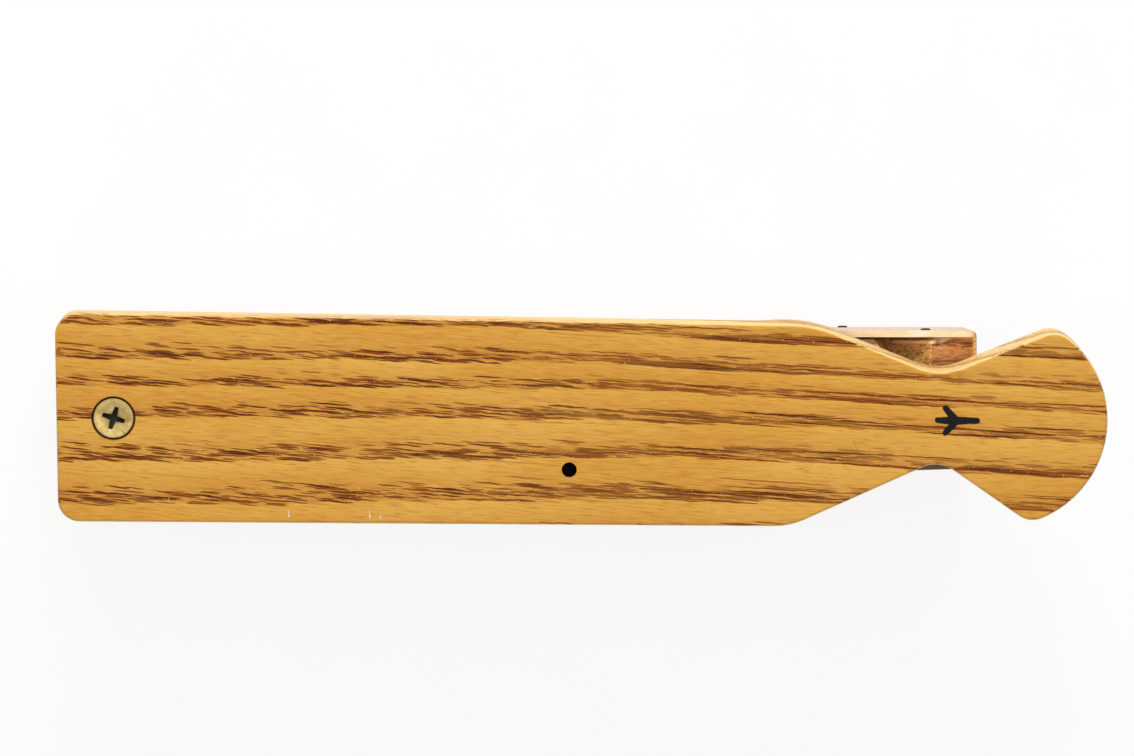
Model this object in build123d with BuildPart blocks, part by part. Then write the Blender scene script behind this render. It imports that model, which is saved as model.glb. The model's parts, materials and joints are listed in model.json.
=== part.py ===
"""A paddle-lid box call: a thin-walled wooden sound box under a long lid on a sprung pivot screw."""

import os
from math import atan, cos, pi, radians, sin, sqrt, tan

from build123d import *

os.makedirs("parts", exist_ok=True)

# Sound box. X runs along the box to the handle end, Z is up from the flat bottom.
BOX_LENGTH = 213.9
HINGE_END_WIDTH = 39.0
HANDLE_END_WIDTH = 32.6
SIDE_LEAN = 4.6
SIDE_THICKNESS = 1.6
SIDE_CORNER = 1.5
END_EASE = 1.5
FLOOR_THICKNESS = 6.0

# Sounding lips, the arched top edges of the two side boards
LIP_HEIGHT = 36.0
LIP_DROP = 1.4
LIP_THICKNESS = 1.1
LIP_BEVEL = 9.0

# End blocks
HINGE_BLOCK_LENGTH = 36.0
HINGE_BLOCK_RELIEF = 0.4
HANDLE_BLOCK_LENGTH = 38.0
NOTCH_START = 10.55
NOTCH_SLOPE = 9.4
NOTCH_WALL = 2.1
NOTCH_DEPTH = 7.5
NOTCH_LEDGE = 0.8
NOTCH_ROUND = 1.2

# Brads that pin the side boards to the blocks and the floor
BRAD_LENGTH = 12.0
BRAD_DIAMETER = 2.3
BRAD_POINT = 2.4
BRAD_PROUD = 0.4
BLOCK_BRAD_FROM_END = 11.7
BLOCK_BRAD_BELOW_LIP = 5.0
FLOOR_BRAD_FROM_END = 30.0

# Pivot screw, washer and spring
PIVOT_FROM_END = 13.35
SCREW_LENGTH = 38.1
SCREW_SHANK = 4.8
SCREW_HEAD = 9.2
SCREW_HEAD_ANGLE = 82.0
SCREW_HEAD_LAND = 0.25
SCREW_HEAD_SINK = 0.15
SCREW_POINT = 8.0
RECESS_ARMS = 4
RECESS_SPAN = 5.4
RECESS_ROOT = 1.6
RECESS_TIP = 1.0
RECESS_DEPTH = 1.9
RECESS_TAPER = 8.0
RECESS_TURN = -18.0
WASHER_DIAMETER = 11.0
WASHER_THICKNESS = 0.9
SPRING_WIRE = 0.9
SPRING_DIAMETER = 7.2
SPRING_TURNS = 5
WIRE_SIDES = 6
SPRING_POCKET_DEPTH = 8.0

# Paddle lid, drawn from the pivot towards the handle, and swung by its resting angle
REST_SWING = -1.4
LID_THICKNESS = 14.0
LID_CROWN_RADIUS = 300.0
HEEL_REACH = 13.2
HEEL_WIDTH = 48.5
HEEL_CORNER = 5.0
HEEL_SKEW = 1.0
SHOULDER_WIDTH = 46.9
SHOULDER_REACH = 161.2
NEAR_SHOULDER_SETBACK = 4.6
WAIST_PAST_SHOULDER = 29.6
FAR_WAIST = 11.8
NEAR_WAIST = 7.6
FAR_LOBE_PAST_WAIST = 26.8
FAR_LOBE = 22.9
NEAR_LOBE_PAST_WAIST = 21.2
NEAR_LOBE = 22.0
TIP_PAST_WAIST = 38.9
TIP_OFFSET = 1.7
FAR_SHOULDER_ROUND = 28.0
NEAR_SHOULDER_ROUND = 17.0
FAR_WAIST_ROUND = 14.0
NEAR_WAIST_ROUND = 7.2
FAR_LOBE_ROUND = 5.8
NEAR_LOBE_ROUND = 5.5
TOP_EASE = 0.7
EDGE_THICKNESS = 9.0
EDGE_BEVEL_WIDTH = 4.6
EDGE_BEVEL_RUNOUT = 14.0
EDGE_BEVEL_RUNOUT_RADIUS = 30.0
WORM_HOLE = 3.5
WORM_HOLE_DEPTH = 8.0
WORM_HOLE_REACH = 105.4
WORM_HOLE_OFFSET = -10.8

# Clearances
LID_CLEARANCE = 0.3
HEAD_CLEARANCE = 0.4
WASHER_CLEARANCE = 0.2
SPOT_FACE_DEPTH = 0.15
SPOT_FACE_CLEARANCE = 0.8
SPRING_SEAT_GAP = 0.05
SPRING_POCKET_CLEARANCE = 0.3
SCREW_BORE_CLEARANCE = 0.02
CUT_PAST = 5.0

# Heights and places worked out from the sizes above
box_end = BOX_LENGTH / 2
lip_end_height = LIP_HEIGHT - LIP_DROP
hinge_block_top = lip_end_height - HINGE_BLOCK_RELIEF
hinge_block_inner = -box_end + HINGE_BLOCK_LENGTH
handle_block_inner = box_end - HANDLE_BLOCK_LENGTH
pivot_x = -box_end + PIVOT_FROM_END
lid_under = LIP_HEIGHT + LID_CLEARANCE
lid_top = lid_under + LID_THICKNESS
spot_face = lid_under + SPOT_FACE_DEPTH
washer_under = spot_face - WASHER_THICKNESS
spring_seat = hinge_block_top - SPRING_POCKET_DEPTH
head_top = lid_top - SCREW_HEAD_SINK
lean_slope = tan(radians(SIDE_LEAN))
taper_slope = (HINGE_END_WIDTH - HANDLE_END_WIDTH) / 2 / BOX_LENGTH


def half_width(x, z, inset):
    """Half the box width at one place, measured to a face set in from the outside."""
    at_lip = (HINGE_END_WIDTH + HANDLE_END_WIDTH) / 4 - taper_slope * x
    return at_lip - lean_slope * (LIP_HEIGHT - z) - inset


def trough(inset, reach):
    """The tapered space between the two leaning side faces, from below the floor to above the lips."""
    with BuildPart() as space:
        with Locations((0, 0, -CUT_PAST)):
            Box(
                2 * reach,
                2 * HINGE_END_WIDTH,
                lid_top + CUT_PAST,
                align=(Align.CENTER, Align.CENTER, Align.MIN),
            )
        for side in (-1, 1):
            side_face = Plane(
                origin=(0, side * half_width(0, 0, inset), 0),
                z_dir=(taper_slope, side, -lean_slope),
            )
            split(bisect_by=side_face, keep=Keep.BOTTOM)
    return space.part


inner_space = trough(SIDE_THICKNESS, box_end + CUT_PAST)

with BuildPart() as outer_space:
    add(trough(0, box_end))
    end_corners = outer_space.edges().filter_by(lambda edge: abs((edge % 0).Z) > cos(radians(45)))
    fillet(end_corners, radius=SIDE_CORNER)


# Brads, each square to its leaning side board, with its head a little proud of it
side_normal = Vector(taper_slope, 1, -lean_slope).normalized()


def brad_plane(x, z):
    """Where a brad meets the far side board's face, with the plane's Z pointing out of the wood."""
    return Plane(
        origin=(x, half_width(x, z, 0), z),
        x_dir=Vector(1, -taper_slope, 0),
        z_dir=side_normal,
    )


block_brad_height = lip_end_height - BLOCK_BRAD_BELOW_LIP
floor_brad_height = FLOOR_THICKNESS / 2
brad_planes = []
for end in (-1, 1):
    brad_planes.append(brad_plane(end * (box_end - BLOCK_BRAD_FROM_END), block_brad_height))
    brad_planes.append(brad_plane(end * (box_end - FLOOR_BRAD_FROM_END), floor_brad_height))

with BuildPart() as far_side_brads:
    for head_plane in brad_planes:
        across = head_plane.x_dir
        with BuildSketch(Plane(head_plane.origin, x_dir=across, z_dir=across.cross(head_plane.z_dir))):
            with BuildLine():
                Polyline(
                    (0, BRAD_PROUD),
                    (BRAD_DIAMETER / 2, BRAD_PROUD),
                    (BRAD_DIAMETER / 2, BRAD_PROUD + BRAD_POINT - BRAD_LENGTH),
                    (0, BRAD_PROUD - BRAD_LENGTH),
                    close=True,
                )
            make_face()
        revolve(axis=Axis(head_plane.origin, head_plane.z_dir))

with BuildPart() as near_side_brads:
    add(far_side_brads.part.mirror(Plane.XZ))


# Side boards, thinned inside below the lip and arched along the top
lip_bevel_foot = LIP_HEIGHT - LIP_BEVEL
lip_bevel_slope = (SIDE_THICKNESS - LIP_THICKNESS) / LIP_BEVEL
lip_bevel_top = LIP_HEIGHT + CUT_PAST

with BuildPart() as lip_relief:
    for x in (hinge_block_inner, handle_block_inner):
        foot = half_width(x, lip_bevel_foot, SIDE_THICKNESS)
        crest = half_width(x, lip_bevel_top, SIDE_THICKNESS) + lip_bevel_slope * (LIP_BEVEL + CUT_PAST)
        with BuildSketch(Plane.YZ.offset(x)):
            with BuildLine():
                Polyline(
                    (foot, lip_bevel_foot),
                    (crest, lip_bevel_top),
                    (0, lip_bevel_top),
                    (0, lip_bevel_foot),
                    close=True,
                )
            make_face()
    loft(ruled=True)

with BuildPart() as far_side_board:
    with BuildSketch(Plane.XZ):
        with BuildLine():
            Polyline(
                (-box_end, lip_end_height),
                (-box_end, 0),
                (box_end, 0),
                (box_end, lip_end_height),
            )
            ThreePointArc((box_end, lip_end_height), (0, LIP_HEIGHT), (-box_end, lip_end_height))
        make_face()
        lip_ends = vertices().sort_by(Axis.Y)[-2:]
        fillet(lip_ends, radius=END_EASE)
    extrude(amount=-HINGE_END_WIDTH)
    add(outer_space.part, mode=Mode.INTERSECT)
    add(inner_space, mode=Mode.SUBTRACT)
    add(lip_relief.part, mode=Mode.SUBTRACT)
    add(far_side_brads.part, mode=Mode.SUBTRACT)

with BuildPart() as near_side_board:
    add(far_side_board.part.mirror(Plane.XZ))


# Floor board between the side boards, under both end blocks
with BuildPart() as floor_board:
    Box(BOX_LENGTH, HINGE_END_WIDTH, FLOOR_THICKNESS, align=(Align.CENTER, Align.CENTER, Align.MIN))
    add(inner_space, mode=Mode.INTERSECT)
    add(far_side_brads.part, mode=Mode.SUBTRACT)
    add(near_side_brads.part, mode=Mode.SUBTRACT)


# Pivot screw, a countersunk wood screw with a cross recess
head_cone_height = (SCREW_HEAD - SCREW_SHANK) / 2 / tan(radians(SCREW_HEAD_ANGLE / 2))
screw_tip = head_top - SCREW_LENGTH
pivot_axis = Axis((pivot_x, 0, 0), (0, 0, 1))
pivot_section = Plane(origin=(pivot_x, 0, 0), x_dir=(1, 0, 0), z_dir=(0, -1, 0))

with BuildPart() as pivot_screw:
    with BuildSketch(pivot_section):
        with BuildLine():
            Polyline(
                (0, head_top),
                (SCREW_HEAD / 2, head_top),
                (SCREW_HEAD / 2, head_top - SCREW_HEAD_LAND),
                (SCREW_SHANK / 2, head_top - SCREW_HEAD_LAND - head_cone_height),
                (SCREW_SHANK / 2, screw_tip + SCREW_POINT),
                (0, screw_tip),
                close=True,
            )
        make_face()
    revolve(axis=pivot_axis)
    with BuildSketch(Plane(origin=(pivot_x, 0, head_top))):
        with PolarLocations(0, RECESS_ARMS, start_angle=RECESS_TURN):
            Polygon(
                (0, -RECESS_ROOT / 2),
                (RECESS_SPAN / 2, -RECESS_TIP / 2),
                (RECESS_SPAN / 2, RECESS_TIP / 2),
                (0, RECESS_ROOT / 2),
                align=None,
            )
    extrude(amount=-RECESS_DEPTH, taper=RECESS_TAPER, mode=Mode.SUBTRACT)


# Spring around the screw, one open coil from the pocket floor to the washer
spring_bottom = spring_seat + SPRING_WIRE / 2 + SPRING_SEAT_GAP
spring_rise = washer_under - SPRING_WIRE / 2 - SPRING_SEAT_GAP - spring_bottom
spring_pitch = spring_rise / SPRING_TURNS
spring_lead = atan(spring_pitch / (pi * SPRING_DIAMETER))


def spring_point(turns):
    """A point on the wire's centre line, counted in turns from the lower end."""
    angle = 2 * pi * turns
    radius = SPRING_DIAMETER / 2
    return Vector(pivot_x + radius * cos(angle), radius * sin(angle), spring_bottom + spring_pitch * turns)


def spring_heading(turns):
    """The wire's direction at that point."""
    angle = 2 * pi * turns
    flat = cos(spring_lead)
    return Vector(-sin(angle) * flat, cos(angle) * flat, sin(spring_lead))


def biarc_middle(start, end, heading_in, heading_out):
    """The point where two arcs meet that leave the start and reach the end in the given directions."""
    chord = end - start
    both = heading_in + heading_out
    bend = 2 * (1 - heading_in.dot(heading_out))
    along = chord.dot(both)
    reach = (sqrt(along * along + bend * chord.dot(chord)) - along) / bend
    return (start + end + (heading_in - heading_out) * reach) * 0.5


with BuildPart() as pivot_spring:
    with BuildLine() as wire_path:
        for half_turn in range(2 * SPRING_TURNS):
            first, last = half_turn / 2, (half_turn + 1) / 2
            heading_in, heading_out = spring_heading(first), spring_heading(last)
            middle = biarc_middle(spring_point(first), spring_point(last), heading_in, heading_out)
            lower_arc = TangentArc(spring_point(first), middle, tangent=heading_in)
            TangentArc(middle, spring_point(last), tangent=lower_arc % 1)
    with BuildSketch(Plane(origin=spring_point(0), z_dir=spring_heading(0))):
        RegularPolygon(SPRING_WIRE / 2, WIRE_SIDES)
    sweep()

samples_per_turn = 40
sample_count = samples_per_turn * SPRING_TURNS
wire = wire_path.wire()
samples = [wire @ (step / sample_count) for step in range(sample_count + 1)]
self_gap = min(
    (samples[near] - samples[far]).length - SPRING_WIRE
    for near in range(sample_count + 1)
    for far in range(near + samples_per_turn // 2, sample_count + 1)
)
print(f"least gap between spring turns {self_gap:.2f} mm")


# Washer between the spring and the lid
with BuildPart() as lid_washer:
    with BuildSketch(Plane(origin=(pivot_x, 0, washer_under))):
        Circle(WASHER_DIAMETER / 2)
        Circle(SCREW_SHANK / 2 + WASHER_CLEARANCE, mode=Mode.SUBTRACT)
    extrude(amount=WASHER_THICKNESS)


# Hinge block, bored for the screw and pocketed for the spring
spring_pocket_radius = (SPRING_DIAMETER + SPRING_WIRE) / 2 + SPRING_POCKET_CLEARANCE

with BuildPart() as hinge_block:
    with BuildSketch(Plane.XZ):
        with Locations((-box_end, FLOOR_THICKNESS)):
            Rectangle(
                HINGE_BLOCK_LENGTH,
                hinge_block_top - FLOOR_THICKNESS,
                align=(Align.MIN, Align.MIN),
            )
        top_end = vertices().sort_by_distance((-box_end, hinge_block_top))[0]
        fillet(top_end, radius=END_EASE - HINGE_BLOCK_RELIEF)
    extrude(amount=HINGE_END_WIDTH, both=True)
    add(inner_space, mode=Mode.INTERSECT)
    with BuildSketch(pivot_section):
        with BuildLine():
            Polyline(
                (0, hinge_block_top + CUT_PAST),
                (spring_pocket_radius, hinge_block_top + CUT_PAST),
                (spring_pocket_radius, spring_seat),
                (SCREW_SHANK / 2 + SCREW_BORE_CLEARANCE, spring_seat),
                (SCREW_SHANK / 2 + SCREW_BORE_CLEARANCE, screw_tip + SCREW_POINT),
                (SCREW_BORE_CLEARANCE, screw_tip),
                (0, screw_tip),
                close=True,
            )
        make_face()
    revolve(axis=pivot_axis, mode=Mode.SUBTRACT)
    add(far_side_brads.part, mode=Mode.SUBTRACT)
    add(near_side_brads.part, mode=Mode.SUBTRACT)


# Handle block, with the sloping notch cut across it under the lid's waist
notch_deep = box_end - NOTCH_START - NOTCH_SLOPE

with BuildPart() as handle_block:
    with BuildSketch(Plane.XZ):
        with BuildLine():
            Polyline(
                (handle_block_inner, FLOOR_THICKNESS),
                (box_end, FLOOR_THICKNESS),
                (box_end, lip_end_height),
                (box_end - NOTCH_START, lip_end_height),
                (notch_deep, lip_end_height - NOTCH_DEPTH),
                (notch_deep - NOTCH_WALL, lip_end_height - NOTCH_LEDGE),
                (handle_block_inner, lip_end_height - NOTCH_LEDGE),
                close=True,
            )
        make_face()
        notch_points = [
            point for point in vertices()
            if notch_deep - 2 * NOTCH_WALL < point.X < box_end - NOTCH_START / 2
        ]
        fillet(notch_points, radius=NOTCH_ROUND)
        end_corner = vertices().sort_by_distance((box_end, lip_end_height))[0]
        fillet(end_corner, radius=END_EASE)
    extrude(amount=HANDLE_END_WIDTH, both=True)
    add(inner_space, mode=Mode.INTERSECT)
    add(far_side_brads.part, mode=Mode.SUBTRACT)
    add(near_side_brads.part, mode=Mode.SUBTRACT)


# Paddle lid
lid_frame = Plane(
    origin=(pivot_x, 0, 0),
    x_dir=(cos(radians(REST_SWING)), sin(radians(REST_SWING)), 0),
    z_dir=(0, 0, 1),
)
lid_section = Plane(origin=lid_frame.origin, x_dir=lid_frame.y_dir, z_dir=lid_frame.x_dir)
lid_side = Plane(origin=lid_frame.origin, x_dir=lid_frame.x_dir, z_dir=-lid_frame.y_dir)
crown_half = HEEL_WIDTH
crown_rise = LID_CROWN_RADIUS - sqrt(LID_CROWN_RADIUS**2 - crown_half**2)
lid_edge_under = lid_top - EDGE_THICKNESS
near_shoulder_reach = SHOULDER_REACH - NEAR_SHOULDER_SETBACK
waist_reach = SHOULDER_REACH + WAIST_PAST_SHOULDER
tip_reach = waist_reach + TIP_PAST_WAIST
bevel_stop = near_shoulder_reach - EDGE_BEVEL_RUNOUT
countersink_radius = SCREW_HEAD / 2 + HEAD_CLEARANCE
lid_bore_radius = SCREW_SHANK / 2 + HEAD_CLEARANCE
spot_face_radius = WASHER_DIAMETER / 2 + SPOT_FACE_CLEARANCE

# Wedges taken off under the lid's two long edges, each curving out before the shoulders
bevel_inner = SHOULDER_WIDTH / 2 - EDGE_BEVEL_WIDTH
bevel_rise = lid_edge_under - lid_under
bevel_past = bevel_inner + 2 * EDGE_BEVEL_WIDTH

with BuildPart() as edge_bevels:
    with BuildSketch(lid_section.offset(-HEEL_REACH - CUT_PAST)):
        with BuildLine():
            Polyline(
                (bevel_inner, lid_under),
                (bevel_past, lid_under + 2 * bevel_rise),
                (bevel_past, lid_under - CUT_PAST),
                (bevel_inner, lid_under - CUT_PAST),
                close=True,
            )
        make_face()
        mirror(about=Plane.YZ)
    extrude(amount=HEEL_REACH + CUT_PAST + near_shoulder_reach)
    with BuildSketch(lid_side):
        with BuildLine():
            Polyline(
                (bevel_stop, lid_top),
                (-HEEL_REACH - 2 * CUT_PAST, lid_top),
                (-HEEL_REACH - 2 * CUT_PAST, lid_under - 2 * CUT_PAST),
                (near_shoulder_reach, lid_under - 2 * CUT_PAST),
                (near_shoulder_reach, lid_under),
            )
            RadiusArc((near_shoulder_reach, lid_under), (bevel_stop, lid_top), EDGE_BEVEL_RUNOUT_RADIUS)
        make_face()
    extrude(amount=2 * HEEL_WIDTH, both=True, mode=Mode.INTERSECT)

with BuildPart() as paddle_lid:
    with BuildSketch(lid_frame.offset(lid_under - CUT_PAST)):
        with BuildLine():
            far_heel = (-HEEL_REACH - HEEL_SKEW / 2, HEEL_WIDTH / 2)
            near_heel = (-HEEL_REACH + HEEL_SKEW / 2, -HEEL_WIDTH / 2)
            far_shoulder = (SHOULDER_REACH, SHOULDER_WIDTH / 2)
            near_shoulder = (near_shoulder_reach, -SHOULDER_WIDTH / 2)
            far_waist = (waist_reach, FAR_WAIST)
            near_waist = (waist_reach, -NEAR_WAIST)
            far_lobe = (waist_reach + FAR_LOBE_PAST_WAIST, FAR_LOBE)
            near_lobe = (waist_reach + NEAR_LOBE_PAST_WAIST, -NEAR_LOBE)
            tip = (tip_reach, TIP_OFFSET)
            Polyline(
                near_lobe,
                near_waist,
                near_shoulder,
                near_heel,
                far_heel,
                far_shoulder,
                far_waist,
                far_lobe,
            )
            ThreePointArc(far_lobe, tip, near_lobe)
        make_face()
        corner_rounds = {
            near_lobe: NEAR_LOBE_ROUND,
            near_waist: NEAR_WAIST_ROUND,
            near_shoulder: NEAR_SHOULDER_ROUND,
            near_heel: HEEL_CORNER,
            far_heel: HEEL_CORNER,
            far_shoulder: FAR_SHOULDER_ROUND,
            far_waist: FAR_WAIST_ROUND,
            far_lobe: FAR_LOBE_ROUND,
        }
        for corner, radius in corner_rounds.items():
            fillet(vertices().sort_by_distance(corner)[0], radius=radius)
    extrude(amount=LID_THICKNESS + CUT_PAST)
    top_outline = paddle_lid.faces().sort_by(Axis.Z)[-1].outer_wire().edges()
    fillet(top_outline, radius=TOP_EASE)
    with BuildSketch(lid_section.offset(-HEEL_REACH - CUT_PAST)):
        with BuildLine():
            ThreePointArc(
                (-crown_half, lid_under + crown_rise),
                (0, lid_under),
                (crown_half, lid_under + crown_rise),
            )
            Polyline(
                (crown_half, lid_under + crown_rise),
                (crown_half, lid_under - 2 * CUT_PAST),
                (-crown_half, lid_under - 2 * CUT_PAST),
                (-crown_half, lid_under + crown_rise),
            )
        make_face()
    extrude(amount=HEEL_REACH + tip_reach + 2 * CUT_PAST, mode=Mode.SUBTRACT)
    add(edge_bevels.part, mode=Mode.SUBTRACT)
    with BuildSketch(pivot_section):
        with BuildLine():
            Polyline(
                (0, lid_top + CUT_PAST),
                (countersink_radius, lid_top + CUT_PAST),
                (countersink_radius, head_top - SCREW_HEAD_LAND),
                (lid_bore_radius, head_top - SCREW_HEAD_LAND - head_cone_height),
                (lid_bore_radius, spot_face),
                (spot_face_radius, spot_face),
                (spot_face_radius, lid_under - CUT_PAST),
                (0, lid_under - CUT_PAST),
                close=True,
            )
        make_face()
    revolve(axis=pivot_axis, mode=Mode.SUBTRACT)
    with BuildSketch(lid_frame.offset(lid_top)):
        with Locations((WORM_HOLE_REACH, WORM_HOLE_OFFSET)):
            Circle(WORM_HOLE / 2)
    extrude(amount=-WORM_HOLE_DEPTH, mode=Mode.SUBTRACT)


pieces = {
    "paddle_lid": paddle_lid,
    "pivot_screw": pivot_screw,
    "pivot_spring": pivot_spring,
    "lid_washer": lid_washer,
    "hinge_block": hinge_block,
    "handle_block": handle_block,
    "floor_board": floor_board,
    "far_side_board": far_side_board,
    "near_side_board": near_side_board,
    "far_side_brads": far_side_brads,
    "near_side_brads": near_side_brads,
}
for name, piece in pieces.items():
    piece.part.label = name
    export_step(piece.part, f"parts/{name}.step")
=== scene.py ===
"""A paddle-lid box call: finishes for its boards, blocks, pivot and brads, on a pale floor."""

import json
from math import atan2, cos, pi, radians, sin

import bmesh
import bpy
from mathutils import Matrix, Vector, noise


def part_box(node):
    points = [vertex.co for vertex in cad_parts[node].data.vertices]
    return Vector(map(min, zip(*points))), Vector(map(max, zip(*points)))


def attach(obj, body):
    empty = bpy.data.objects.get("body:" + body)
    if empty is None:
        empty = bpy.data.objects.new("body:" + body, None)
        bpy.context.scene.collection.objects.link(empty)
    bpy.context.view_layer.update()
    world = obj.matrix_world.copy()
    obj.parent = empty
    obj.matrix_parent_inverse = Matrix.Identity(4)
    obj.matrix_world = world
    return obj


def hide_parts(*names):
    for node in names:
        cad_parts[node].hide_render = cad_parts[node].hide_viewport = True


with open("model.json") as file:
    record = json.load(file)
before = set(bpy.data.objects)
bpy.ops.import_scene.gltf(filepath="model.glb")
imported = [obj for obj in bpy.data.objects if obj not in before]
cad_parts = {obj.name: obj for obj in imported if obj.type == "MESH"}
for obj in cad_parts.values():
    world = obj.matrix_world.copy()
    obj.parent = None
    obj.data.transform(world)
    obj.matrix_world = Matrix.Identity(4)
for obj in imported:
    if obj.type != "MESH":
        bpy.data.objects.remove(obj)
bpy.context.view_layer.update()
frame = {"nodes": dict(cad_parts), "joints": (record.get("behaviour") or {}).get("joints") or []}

scene = bpy.context.scene
nodes = frame["nodes"]
joints = {joint["name"]: joint for joint in frame["joints"]}
PER_METRE = 1000.0
# Points closer than this, in metres, are one point
MERGE = 1e-6

# Places read from the frame, in metres, and the lid's own direction at rest
pivot = Vector(joints["lid_swing"]["pos_m"])
lid_across = -Vector(joints["lid_lift"]["axis"])
lid_along = lid_across.cross(Vector((0, 0, 1)))
lid_turn = -atan2(lid_along.y, lid_along.x)
lid_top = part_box("paddle_lid")[1].z
lid_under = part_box("paddle_lid")[0].z
head_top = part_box("pivot_screw")[1].z
screw_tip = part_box("pivot_screw")[0].z
spring_foot, spring_crest = [corner.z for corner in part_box("pivot_spring")]
handle_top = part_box("handle_block")[1].z
hinge_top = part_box("hinge_block")[1].z
box_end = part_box("far_side_board")[1].x


# Node trees


class Graph:
    """A node tree, with short ways to add and join nodes."""

    def __init__(self, tree):
        self.tree = tree
        tree.nodes.clear()

    def join(self, socket, value):
        """Links a socket's value, or sets a plain one."""
        if isinstance(value, bpy.types.NodeSocket):
            self.tree.links.new(value, socket)
        else:
            socket.default_value = value

    def add(self, kind, values=None, **settings):
        """Adds a node, sets its properties, then sets or links each input."""
        made = self.tree.nodes.new(kind)
        for key, value in settings.items():
            setattr(made, key, value)
        for key, value in (values or {}).items():
            self.join(made.inputs[key], value)
        return made

    def math(self, operation, first, second=0.0, third=0.0):
        values = {0: first, 1: second, 2: third}
        return self.add("ShaderNodeMath", values, operation=operation).outputs[0]

    def times(self, first, second):
        return self.math("MULTIPLY", first, second)

    def plus(self, first, second):
        return self.math("ADD", first, second)

    def minus(self, first, second):
        return self.math("SUBTRACT", first, second)

    def vector(self, operation, first, second=(0, 0, 0)):
        return self.add("ShaderNodeVectorMath", {0: first, 1: second}, operation=operation)

    def spread(self, value, low, high, to_low=0.0, to_high=1.0, kind="SMOOTHSTEP"):
        """Maps low to high onto to_low to to_high, held at both ends."""
        values = {"Value": value, "From Min": low, "From Max": high}
        values |= {"To Min": to_low, "To Max": to_high}
        made = self.add("ShaderNodeMapRange", values, interpolation_type=kind, clamp=True)
        return made.outputs[0]

    def slide(self, value, low, high, to_low=0.0, to_high=1.0):
        """The same on a straight line."""
        return self.spread(value, low, high, to_low, to_high, "LINEAR")

    def split(self, vector):
        return self.add("ShaderNodeSeparateXYZ", {"Vector": vector}).outputs

    def combine(self, x, y, z):
        return self.add("ShaderNodeCombineXYZ", {"X": x, "Y": y, "Z": z}).outputs[0]

    def curve(self, value, points):
        """A line through points, both axes from 0 to 1."""
        made = self.add("ShaderNodeFloatCurve", {"Value": value})
        line = made.mapping.curves[0]
        while len(line.points) < len(points):
            line.points.new(0.5, 0.5)
        for point, (x, y) in zip(line.points, points):
            point.location = (x, y)
            point.handle_type = "VECTOR"
        made.mapping.update()
        return made.outputs[0]


class Shader(Graph):
    """One material's nodes."""

    def __init__(self, name):
        self.material = bpy.data.materials.new(name)
        self.material.use_nodes = True
        super().__init__(self.material.node_tree)

    def blend(self, share, first, second, mode="MIX"):
        """Mixes two colours by a share."""
        made = self.add("ShaderNodeMix", data_type="RGBA", blend_type=mode)
        self.join(made.inputs[0], share)
        self.join(made.inputs[6], first)
        self.join(made.inputs[7], second)
        return made.outputs[2]

    def place(self, origin=(0, 0, 0), turn=0.0):
        """Object coordinates in millimetres from an origin given in metres, turned about Z."""
        start = self.add("ShaderNodeTexCoord").outputs["Object"]
        moved = self.vector("SUBTRACT", start, tuple(origin)).outputs[0]
        values = {"Vector": moved, "Rotation": (0, 0, turn), "Scale": [PER_METRE] * 3}
        return self.add("ShaderNodeMapping", values).outputs[0]

    def noise(self, point, size, detail=2.0, rough=0.5):
        """Noise whose features are about the given millimetres along X, Y and Z."""
        stretched = self.vector("DIVIDE", point, size).outputs[0]
        values = {"Vector": stretched, "Scale": 1.0, "Detail": detail, "Roughness": rough}
        return self.add("ShaderNodeTexNoise", values).outputs[0]

    def stroke(self, point, start, end, start_half, end_half, soft):
        """1 on a tapered stroke from start to end, in millimetres, and 0 away from it."""
        span = Vector(end) - Vector(start)
        from_start = self.vector("SUBTRACT", point, tuple(start)).outputs[0]
        dot = self.vector("DOT_PRODUCT", from_start, tuple(span)).outputs["Value"]
        share = self.slide(dot, 0.0, span.length_squared)
        values = {0: tuple(span), "Scale": share}
        nearest = self.add("ShaderNodeVectorMath", values, operation="SCALE")
        away = self.vector("DISTANCE", from_start, nearest.outputs[0]).outputs["Value"]
        half = self.slide(share, 0.0, 1.0, start_half, end_half)
        return self.spread(self.minus(half, away), -soft, soft)

    def facing(self):
        """The surface's own direction, as its shares along X, Y and Z."""
        return self.split(self.add("ShaderNodeNewGeometry").outputs["True Normal"])

    def finish(self, surface):
        self.add("ShaderNodeOutputMaterial", {"Surface": surface})
        return self.material


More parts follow.
